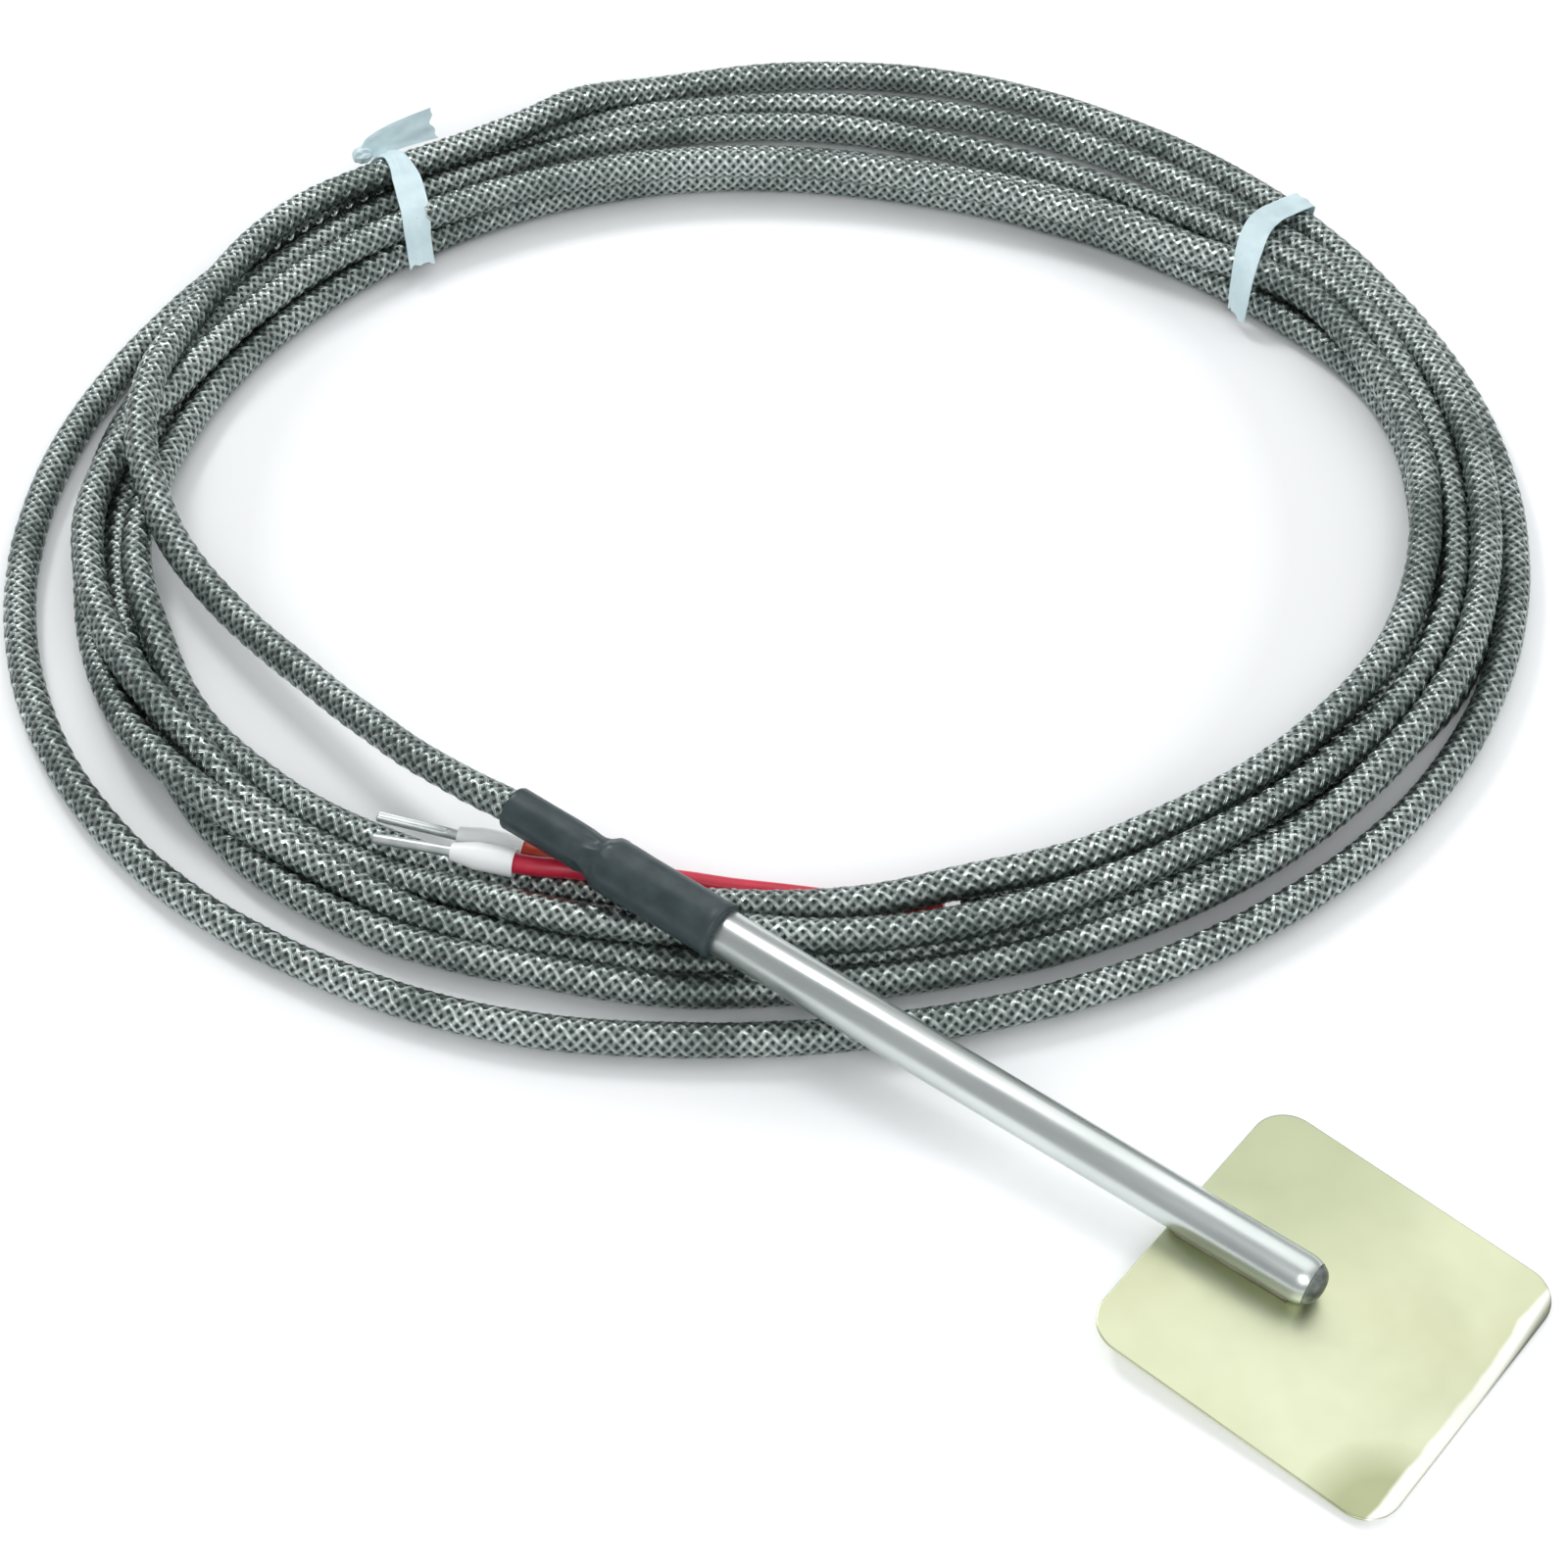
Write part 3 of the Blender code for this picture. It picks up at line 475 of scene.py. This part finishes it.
class Look:
    """A node material being put together round one Principled shader."""

    def __init__(self, name, roughness, metallic=0.0, colour=None):
        self.material = bpy.data.materials.new(name)
        self.material.use_nodes = True
        self.nodes = self.material.node_tree.nodes
        self.links = self.material.node_tree.links
        self.shader = self.nodes["Principled BSDF"]
        self.shader.inputs["Roughness"].default_value = roughness
        self.shader.inputs["Metallic"].default_value = metallic
        if colour:
            self.shader.inputs["Base Color"].default_value = (*colour, 1)
        self.place = self.nodes.new("ShaderNodeTexCoord").outputs["Object"]

    def node(self, kind, inputs, **settings):
        """A new node; each of its inputs is linked to a socket or set to a constant."""
        made = self.nodes.new("ShaderNode" + kind)
        for name, value in settings.items():
            setattr(made, name, value)
        for name, value in inputs.items():
            if isinstance(value, bpy.types.NodeSocket):
                self.links.new(value, made.inputs[name])
            else:
                made.inputs[name].default_value = value
        return made

    def noise(self, scale, detail=3.0, stretch=None):
        place = self.place
        if stretch:
            place = self.node("Mapping", {"Vector": place, "Scale": stretch}).outputs["Vector"]
        inputs = {"Vector": place, "Scale": scale, "Detail": detail}
        return self.node("TexNoise", inputs).outputs["Fac"]

    def ramp(self, value, stops):
        """The value as a colour between stops, which also becomes the base colour."""
        found = self.node("ValToRGB", {"Fac": value})
        bands = found.color_ramp.elements
        while len(bands) < len(stops):
            bands.new(0.5)
        for band, (at, colour) in zip(bands, stops):
            band.position = at
            band.color = (*colour, 1)
        self.links.new(found.outputs["Color"], self.shader.inputs["Base Color"])
        return found.outputs["Color"]

    def mapped(self, value, start, end, low=0.0, high=1.0):
        inputs = {"Value": value, "From Min": start, "From Max": end, "To Min": low,
                  "To Max": high}
        return self.node("MapRange", inputs).outputs["Result"]

    def spread(self, value, low, high, into):
        self.links.new(self.mapped(value, 0.3, 0.7, low, high), self.shader.inputs[into])

    def maths(self, operation, one, other=0.5):
        return self.node("Math", {0: one, 1: other}, operation=operation).outputs["Value"]

    def distance(self, centre):
        inputs = {0: self.place, 1: centre}
        return self.node("VectorMath", inputs, operation="DISTANCE").outputs["Value"]

    def mix(self, under, over, factor, blend="MIX"):
        inputs = {"Factor": factor, "A": under, "B": over}
        made = self.node("Mix", inputs, data_type="RGBA", blend_type=blend)
        return made.outputs["Result"]

    def band(self, shade, value, start, end, colour):
        """Another colour where the value has passed from start to end."""
        return self.mix(shade, (*colour, 1), self.mapped(value, start, end))

    def patch(self, shade, centre, full, clear, colour):
        """Another colour round a point, full up to one distance and gone at another."""
        return self.band(shade, self.distance(centre), clear, full, colour)

    def bump(self, value, depth, strength=1.0):
        """Relief of a depth in millimetres, on top of any the look already has."""
        inputs = {"Height": value, "Distance": depth * MM, "Strength": strength}
        before = self.shader.inputs["Normal"]
        if before.is_linked:
            inputs["Normal"] = before.links[0].from_socket
        self.links.new(self.node("Bump", inputs).outputs["Normal"], before)


def plain_look(name, dark, light, roughness, metallic=0.0, scale=300, depth=0.02, grain=2500):
    look = Look(name, roughness, metallic)
    look.ramp(look.noise(scale), [(0.35, dark), (0.65, light)])
    look.spread(look.noise(scale * 2), roughness * 0.85, roughness * 1.15, "Roughness")
    look.bump(look.noise(grain), depth)
    return look.material


def brass_look():
    """Satin brass with a painted darker reflection at two corners, a painted highlight along the
    curled edge and a painted shadow line at its rim.
    """
    look = Look("brass", 0.36, 1.0)
    shade = look.ramp(look.noise(38, 4), [(0.3, (0.56, 0.58, 0.38)), (0.5, (0.63, 0.66, 0.455)),
                                          (0.7, (0.68, 0.71, 0.51))])
    half = PLATE_SIDE / 2 * MM
    # Painted darker reflection: the two bent corners are darkened in the base colour
    shade = look.patch(shade, (-half, half, 0), 0.012, 0.027, (0.47, 0.51, 0.335))
    shade = look.patch(shade, (half * 0.95, -half, 0), 0.006, 0.011, (0.41, 0.44, 0.26))
    split = look.node("SeparateXYZ", {"Vector": look.place})
    # Painted highlight: a pale band along the curled edge, placed by distance along the plate's own
    # x
    slant = look.maths("ADD", split.outputs["X"], look.maths("MULTIPLY", split.outputs["Y"], -0.07))
    slant = look.maths("ADD", slant, look.maths("MULTIPLY", look.noise(120, 3), 0.002))
    shade = look.band(shade, slant, half - 0.0010, half - 0.0005, (0.92, 0.93, 0.84))
    # Painted shadow: a dark line right at the rim of the curled edge
    shade = look.band(shade, split.outputs["X"], half - 0.0002, half + 0.0006, (0.30, 0.31, 0.24))
    look.links.new(shade, look.shader.inputs["Base Color"])
    look.spread(look.noise(90, 5), 0.30, 0.46, "Roughness")
    look.bump(look.noise(900, 4, (1, 12, 1)), 0.006)
    look.bump(look.noise(60, 2), 0.10, 0.5)
    return look.material


def steel_look():
    look = Look("sheath_steel", 0.24, 1.0)
    look.ramp(look.noise(260, 4, (0.15, 1, 1)), [(0.35, (0.61, 0.66, 0.64)),
                                                 (0.65, (0.75, 0.79, 0.77))])
    look.spread(look.noise(500, 4, (0.1, 1, 1)), 0.26, 0.38, "Roughness")
    look.bump(look.noise(5000, 3, (0.02, 1, 1)), 0.004)
    return look.material


def sleeve_look():
    look = Look("shrink_sleeve", 0.55, 0.0)
    look.ramp(look.noise(350, 4), [(0.35, (0.024, 0.040, 0.045)), (0.65, (0.042, 0.064, 0.070))])
    look.spread(look.noise(220, 4), 0.34, 0.50, "Roughness")
    look.bump(look.noise(4200, 4), 0.02)
    return look.material


def braid_look():
    """Tinned wires with a painted highlight on the crests and painted shade sinking into the
    valleys between the strands.
    """
    look = Look("braid_wire", 0.30, 1.0)
    # Painted light and shade: the base colour follows the braid's height, near black in the
    # valleys, bright on the crests
    raised = look.node("Attribute", {}, attribute_name="raised").outputs["Fac"]
    depth = look.ramp(look.mapped(raised, -0.2, 0.5), [(0.0, (0.018, 0.026, 0.024)),
                                                       (0.24, (0.23, 0.275, 0.26)),
                                                       (0.5, (0.39, 0.45, 0.425)),
                                                       (1.0, (0.72, 0.79, 0.75))])
    tarnish = look.ramp(look.noise(95, 5), [(0.33, (0.50, 0.53, 0.52)), (0.62, (1, 1, 1))])
    look.links.new(look.mix(depth, tarnish, 1, "MULTIPLY"), look.shader.inputs["Base Color"])
    look.spread(look.noise(900, 4), 0.15, 0.32, "Roughness")
    wires = look.node("UVMap", {}, uv_map="wires").outputs["UV"]
    across = look.node("SeparateXYZ", {"Vector": wires}).outputs["X"]
    turns = look.maths("MULTIPLY", across, STRAND_WIRES * 2 * math.pi)
    look.bump(look.maths("COSINE", turns), 0.03, 0.8)
    return look.material


def film_look():
    look = Look("tie_film", 0.48, 0.0)
    look.ramp(look.noise(240, 3), [(0.3, (0.56, 0.71, 0.75)), (0.7, (0.68, 0.83, 0.86))])
    look.shader.inputs["Subsurface Weight"].default_value = 0.3
    look.shader.inputs["Subsurface Radius"].default_value = (0.002, 0.003, 0.003)
    look.bump(look.noise(500, 3, (1, 1, 0.3)), 0.12, 0.7)
    return look.material


def paper_look():
    """White paper with a faint glow of painted light, which dies away where the coil lies to leave
    a painted shade under it.
    """
    look = Look("paper", 0.9, 0.0, (0.88, 0.89, 0.90))
    look.shader.inputs["Emission Color"].default_value = (0.97, 0.99, 1.0, 1)
    centre = (COIL_CENTRE.x * MM, COIL_CENTRE.y * MM, FLOOR_Z)
    near = look.maths("SUBTRACT", look.distance(centre), GLOW_RING * MM)
    # Painted shade: no glow within a band round the coil, the glow rising outside it
    glow_with_coil_shade = look.mapped(look.maths("ABSOLUTE", near), 0.012, 0.030, 0, 0.28)
    look.links.new(glow_with_coil_shade, look.shader.inputs["Emission Strength"])
    return look.material


def make_looks():
    grey = (0.30, 0.31, 0.31)
    return {
        "plate_brass": brass_look(),
        "solder": plain_look("solder", (0.30, 0.28, 0.22), (0.48, 0.45, 0.36), 0.42, 0.9, 400),
        "sheath_steel": steel_look(),
        "tip_weld": plain_look("weld", (0.13, 0.15, 0.14), (0.32, 0.35, 0.33), 0.42, 0.9,
                               700, 0.05),
        "bead_ceramic": plain_look("ceramic", (0.72, 0.70, 0.64), (0.84, 0.82, 0.77), 0.6),
        "potting_cement": plain_look("cement", (0.55, 0.52, 0.46), (0.68, 0.65, 0.58), 0.85,
                                     0, 500, 0.1),
        "sleeve_rubber": sleeve_look(),
        "cable_braid": braid_look(),
        # Painted shade: near black for the gaps between the braid's strands and for the cable's
        # ends
        "braid_hole_shade": plain_look("braid_hole_shade", (0.008, 0.011, 0.011), (0.02, 0.026, 0.025), 0.7),
        "tie_film": film_look(),
        "collar_plastic": plain_look("collar", (0.97, 0.985, 0.985), (0.98, 0.99, 0.99), 0.42,
                                     0, 200, 0.01),
        "pin_tin": plain_look("tin", (0.60, 0.64, 0.63), (0.74, 0.78, 0.77), 0.42, 1.0,
                              300, 0.003),
        "positive_alloy": plain_look("alloy_one", grey, (0.45, 0.45, 0.44), 0.35, 1.0),
        "negative_alloy": plain_look("alloy_two", (0.36, 0.34, 0.30), (0.5, 0.47, 0.42), 0.35, 1.0),
        "core_insulation": plain_look("core", (0.55, 0.50, 0.40), (0.68, 0.62, 0.50), 0.7),
        "positive_insulation": plain_look("lead_crimson", (0.56, 0.016, 0.045),
                                          (0.68, 0.030, 0.070), 0.36, 0, 250, 0.015),
        "negative_insulation": plain_look("lead_orange", (0.50, 0.05, 0.02),
                                          (0.62, 0.09, 0.04), 0.36, 0, 250, 0.015),
    }


def paint_frame(looks):
    """Every node carried over from the frame gets the look of its material slot."""
    chosen = {"contact_plate": "plate_brass", "solder_joint": "solder", "sheath_tip": "tip_weld",
              "sheath_tube": "sheath_steel", "hot_junction": "tip_weld",
              "potting_plug": "potting_cement", "heat_shrink_sleeve": "sleeve_rubber",
              "tie_left": "tie_film", "tie_right": "tie_film"}
    starts = {"insulator_bead": "bead_ceramic", "cable_": "cable_braid", "core_": "core_insulation",
              "ferrule_collar": "collar_plastic", "ferrule_pin": "pin_tin"}
    for name, node in frame["nodes"].items():
        sign = "positive" if name.endswith("positive") else "negative"
        slot = chosen.get(name)
        for start, found in starts.items():
            if name.startswith(start):
                slot = found
        if name.startswith("lead_"):
            slot = sign + "_insulation"
        node.data.materials.clear()
        node.data.materials.append(looks[slot or sign + "_alloy"])


def probe(looks):
    """Sheath with its welded end, and the sleeve at its rear."""
    turned_by = Matrix.Rotation(PROBE_TILT, 3, "Y")
    origin = turned_by @ Vector((0, 0, AXIS_Z))
    axis = turned_by @ Vector((1, 0, 0))
    rear = TIP_X - SHEATH_LENGTH
    outer, bore = SHEATH_OD / 2, SHEATH_ID / 2
    shoulder = TIP_X - CROWN_LENGTH
    crown = [(TIP_X - CROWN_LENGTH * (1 - math.sin(a)),
              0.06 + (outer - 0.06) * math.cos(a) ** 0.8)
             for a in np.linspace(0, 1.55, CROWN_STEPS)]
    seam, lip = crown[WELD_STEP]
    wall = [(rear, bore), (rear, outer - 0.15), (rear + 0.15, outer)]
    closed = crown[:WELD_STEP + 1]
    closed += [(seam - 0.3, lip - 0.5), (shoulder - 0.3, bore - 0.02), (rear, bore - 0.02)]
    points, faces = spun(origin, axis, rounded(wall, 6) + closed)
    add_piece("sheath", points, faces, looks["sheath_steel"], ["sheath_tube"])
    dome = [(shoulder - 2.4, 0.5), (shoulder - 2.4, bore - 0.2), (shoulder - 0.3, bore - 0.2),
            (seam - 0.35, lip - 0.7), (seam - 0.02, lip - 0.05), (seam + 0.05, lip)]
    dome += crown[WELD_STEP + 1:]

    def lumpy(x, turn, radius):
        near = min(1, max(0, (x - seam) / 0.5))
        lump = noise.noise(Vector((x * 0.9, 1.3 * math.cos(turn), 1.3 * math.sin(turn))))
        return radius + 0.10 * near * lump * min(1, radius)

    points, faces = spun(origin, axis, dome, 72, lumpy)
    add_piece("sheath_dome", points, faces, looks["tip_weld"], ["sheath_tip"])
    sleeve(origin, axis, looks)


def sleeve(origin, axis, looks):
    """Shrunk sleeve: snug on the sheath, a wrinkled shoulder, then snug on the cable."""
    at = [(83.6, 3.05), (83.6, 3.5), (83.85, 3.72), (84.3, 3.76), (84.9, 3.66), (90, 3.62),
          (96, 3.62), (99.2, 3.66), (100.2, 3.70), (101.0, 3.5), (101.8, 2.98), (102.6, 2.72),
          (103.6, 2.70), (105, 2.80), (107, 2.86), (111, 2.84), (114.6, 2.86), (115.2, 2.86),
          (115.5, 2.70), (115.5, 2.34)]
    inside = [(110, 2.34), (103, 2.34), (101.4, 2.34), (101.2, 3.02), (92, 3.02), (83.62, 3.02)]
    profile = [(TIP_X - s, r) for s, r in rounded(at, 0.35)] + [(TIP_X - s, r) for s, r in inside]

    def wrinkled(x, turn, radius):
        s = TIP_X - x
        if radius < 2.5 or (radius < 3.1 and s < 101.3):
            return radius
        neck = math.exp(-((s - 102.4) / 2.6) ** 2)
        ring = Vector((2.4 * math.cos(turn), 2.4 * math.sin(turn), s * 0.55))
        fold = noise.noise(ring) * 0.34 * neck
        drift = noise.noise(Vector((math.cos(turn), math.sin(turn), s * 0.16 + 7))) * 0.07
        return radius + fold + drift + 0.05 * neck * math.sin(5 * turn + s)

    points, faces = spun(origin, axis, profile, 120, wrinkled)
    add_piece("sleeve", points, faces, looks["sleeve_rubber"],
              ["heat_shrink_sleeve"])


def rounded_square(side, corner, steps):
    """Outline of a square with rounded corners, anticlockwise."""
    inner = side / 2 - corner
    outline = []
    for quarter in range(4):
        cx = inner if quarter in (0, 3) else -inner
        cy = inner if quarter in (0, 1) else -inner
        for k in range(steps):
            turn = math.pi / 2 * (quarter + k / (steps - 1))
            outline.append(Vector((cx + corner * math.cos(turn), cy + corner * math.sin(turn))))
    full = []
    for here, after in zip(outline, outline[1:] + outline[:1]):
        count = max(1, round((after - here).length / 0.8))
        full += [here.lerp(after, k / count) for k in range(count)]
    return full


def plate(looks):
    """Contact plate: thin sheet, slightly wavy, with one edge curling down."""
    lie = Matrix.Rotation(PROBE_TILT, 3, "Y") @ Matrix.Rotation(PLATE_YAW, 3, "Z")
    rim = rounded_square(PLATE_SIDE, PLATE_CORNER, 14)

    def sag(x, y):
        reach = LIP_DEPTH * (0.30 + 0.42 * math.cos(math.pi * y / (PLATE_SIDE + 2)) ** 2)
        curl = max(0, (x - PLATE_SIDE / 2 + reach) / reach) ** 2 * LIP_DROP * reach / LIP_DEPTH
        inside = 1 - min(1, max(abs(x), abs(y)) / (PLATE_SIDE / 2))
        ripple = noise.noise(Vector((x / 11, y / 13, 0.4))) * 0.10 * min(1, 4 * inside)
        return ripple - curl

    levels = [(k / 64, PLATE_THICK) for k in range(1, 64)]
    levels += [(0.9925, PLATE_THICK), (0.9965, PLATE_THICK - 0.02), (1, PLATE_THICK - 0.08),
               (1, 0.08), (0.9965, 0.02), (0.9925, 0)]
    levels += [(k / 12, 0) for k in range(11, 0, -1)]
    points = []
    for scale, level in levels:
        points += [lie @ Vector((p.x * scale, p.y * scale, level + sag(p.x * scale, p.y * scale)))
                   for p in rim]
    for p in points:
        p.z = max(p.z, FLOOR_Z / MM + 0.01)
    faces = [tuple(reversed(f)) for f in grid_faces(len(levels), len(rim))]
    faces.append(tuple(range(len(rim))))
    faces.append(tuple(reversed(range(len(points) - len(rim), len(points)))))
    add_piece("plate", [tuple(p) for p in points], faces, looks["plate_brass"],
              ["contact_plate"])


def above_table(points):
    floor = FLOOR_Z / MM
    return [(x, y, z + floor) for x, y, z in points]


def lead(sign, shape, looks):
    """An insulated lead with the collar and pin of its ferrule."""
    path = smooth(above_table(shape["route"]), PATH_STEP)
    points, faces = tube(path, LEAD_OD / 2)
    wire = add_piece("lead_" + sign + "_run", points, faces,
                     looks[sign + "_insulation"], ["lead_" + sign])
    near, far = (Vector(p) for p in above_table(shape["collar"]))
    tip = Vector(above_table([shape["pin_tip"]])[0])
    run = (far - near).length
    cup = [(0, 1.28), (-0.2, 1.55), (-0.25, 1.78), (0, 1.88), (0.9, 1.85), (run * 0.6, 1.76),
           (run * 0.68, 1.64), (run * 0.93, 1.24), (run, 1.12), (run + 0.05, 0.72)]
    points, faces = spun(near, far - near, rounded(cup, 0.5), 64)
    collar = add_piece("collar_" + sign, points, faces,
                       looks["collar_plastic"], ["ferrule_collar_" + sign])
    length = (tip - far).length
    metal = [(-1, 0.6), (-1, 0.70), (length - 0.35, 0.70), (length - 0.1, 0.64), (length, 0.45)]

    def pressed(x, turn, radius):
        if not shape["crimped"]:
            return radius
        dent = math.exp(-((math.sin(turn) - 1) / 0.25) ** 2) * min(1, max(0, (x - 1.2) / 0.6))
        return radius * (1 - 0.5 * dent)

    points, faces = spun(far, tip - far, rounded(metal, 0.3), 64, pressed)
    pin = add_piece("pin_" + sign, points, faces, looks["pin_tin"],
                    ["ferrule_pin_" + sign])
    length = float(np.linalg.norm(np.diff(path, axis=0), axis=1).sum()) * MM


def on_coil(angle, radius, height):
    turn = math.radians(angle)
    return (COIL_CENTRE.x + radius * math.cos(turn), COIL_CENTRE.y + radius * math.sin(turn),
            height + FLOOR_Z / MM)


def round_the_coil(place):
    outward = Vector((place[0] - COIL_CENTRE.x, place[1] - COIL_CENTRE.y, 0)).normalized()
    return Vector((-outward.y, outward.x, 0))


def film(name, path, sideways, half_widths, seed, ragged, looks, replaced=()):
    """A creased strip of film along the path, as a thin closed sheet."""
    along, _, _ = carry_frames(path)
    columns, thick = 13, 0.09
    top, bottom = [], []
    for i, (place, direction) in enumerate(zip(path, along)):
        part = i / (len(path) - 1)
        width_way = sideways(place)
        width_way = (width_way - Vector(direction) * width_way.dot(Vector(direction))).normalized()
        normal = Vector(direction).cross(width_way).normalized()
        half = np.interp(part, *half_widths)
        for c in range(columns):
            w = 2 * c / (columns - 1) - 1
            spot = Vector((w * 1.6 + seed, i * 0.09, seed * 2.0))
            crease = noise.noise(spot) * 0.30 + noise.noise(spot * 2.7) * 0.10
            end = max(0, (part - 0.9) / 0.1) * ragged
            slide = end * (noise.noise(Vector((w * 2.2, seed, 3))) * 1.6 + abs(w) * 0.8)
            base = Vector(place) + width_way * half * w + Vector(direction) * slide
            base += normal * (crease - 0.12 * (1 - w * w))
            top.append(base + normal * thick)
            bottom.append(base - normal * thick)
    rows = len(path)
    faces = grid_faces(rows, columns, False)
    shift = len(top)
    faces += [tuple(reversed([k + shift for k in f])) for f in grid_faces(rows, columns, False)]
    rim = list(range(columns))
    rim += [r * columns + columns - 1 for r in range(1, rows)]
    rim += [(rows - 1) * columns + c for c in range(columns - 2, -1, -1)]
    rim += [r * columns for r in range(rows - 2, 0, -1)]
    faces += [(rim[(k + 1) % len(rim)], rim[k], rim[k] + shift, rim[(k + 1) % len(rim)] + shift)
              for k in range(len(rim))]
    return add_piece(name, [tuple(p) for p in top + bottom], faces,
                     looks["tie_film"], replaced)


def ties(looks):
    left = film("tie_left_band", smooth([on_coil(*p) for p in TIE_LEFT], TIE_STEP), round_the_coil,
                ((0, 0.3, 0.5, 1), (1.1, 1.3, 2.1, 2.25)), 1.7, 0.4, looks, ["tie_left"])
    right = film("tie_right_band", smooth([on_coil(*p) for p in TIE_RIGHT], TIE_STEP),
                 round_the_coil, ((0, 1), (1.9, 2.0)), 5.2, 0.6, looks, ["tie_right"])
    tail = film("tie_left_tail", smooth([on_coil(*TIE_KNOT)] + TIE_TAIL, TAIL_STEP),
                lambda place: Vector((-0.4, 0.3, 0.85)),
                ((0, 0.15, 0.5, 1), (0.8, 1.6, 2.0, 2.3)), 9.4, 0.6, looks)
    knot_at = Vector(on_coil(*TIE_KNOT))
    axis = Vector((0.7, 0.5, 0.2))
    bead = [(1.5 * math.sin(a), 0.15 + 1.05 * math.cos(a)) for a in np.linspace(-1.5, 1.5, 21)]

    def gathered(x, turn, radius):
        spot = Vector((x, 1.8 * math.cos(turn), 1.8 * math.sin(turn)))
        return radius * (1 + 0.35 * noise.noise(spot * 1.3) + 0.12 * math.sin(6 * turn))

    points, faces = spun(knot_at, axis, bead, 48, gathered)
    knot = add_piece("tie_left_knot", points, faces, looks["tie_film"])
    return [left, right, tail, knot]


def floor_and_light():
    corners = [(x * FLOOR_REACH, y * FLOOR_REACH, FLOOR_Z)
               for x, y in ((-1, -1), (1, -1), (1, 1), (-1, 1))]
    mesh = bpy.data.meshes.new("floor")
    mesh.from_pydata(corners, [], [(0, 1, 2, 3)])
    floor = bpy.data.objects.new("floor", mesh)
    bpy.context.scene.collection.objects.link(floor)
    mesh.materials.append(paper_look())
    world = bpy.data.worlds.new("studio")
    bpy.context.scene.world = world
    world.use_nodes = True
    sky = world.node_tree.nodes["Background"]
    sky.inputs["Color"].default_value = (0.96, 0.98, 1.0, 1)
    sky.inputs["Strength"].default_value = 0.44
    for name, place, energy, size in LAMPS:
        data = bpy.data.lights.new(name, "AREA")
        data.energy = energy
        data.size = size
        lamp = bpy.data.objects.new(name, data)
        lamp.location = Vector(place) * MM
        aim = LAMP_AIM * MM - lamp.location
        lamp.rotation_euler = aim.to_track_quat("-Z", "Y").to_euler()
        bpy.context.scene.collection.objects.link(lamp)


def camera():
    data = bpy.data.cameras.new("camera")
    data.lens = CAMERA_LENS
    data.sensor_width = 36
    data.clip_start = 0.01
    data.clip_end = 20
    eye = bpy.data.objects.new("camera", data)
    eye.location = CAMERA_PLACE * MM
    aim = (CAMERA_AIM - CAMERA_PLACE).to_track_quat("-Z", "Y")
    eye.rotation_euler = aim.to_euler()
    bpy.context.scene.collection.objects.link(eye)
    bpy.context.scene.camera = eye


camera()
looks = make_looks()
paint_frame(looks)
route = cable_route()
cable = braided_cable(route, [looks["cable_braid"], looks["braid_hole_shade"]])
probe(looks)
plate(looks)
ties(looks)
for sign, shape in LEADS.items():
    lead(sign, shape, looks)
floor_and_light()
bpy.context.scene.view_settings.view_transform = "Standard"
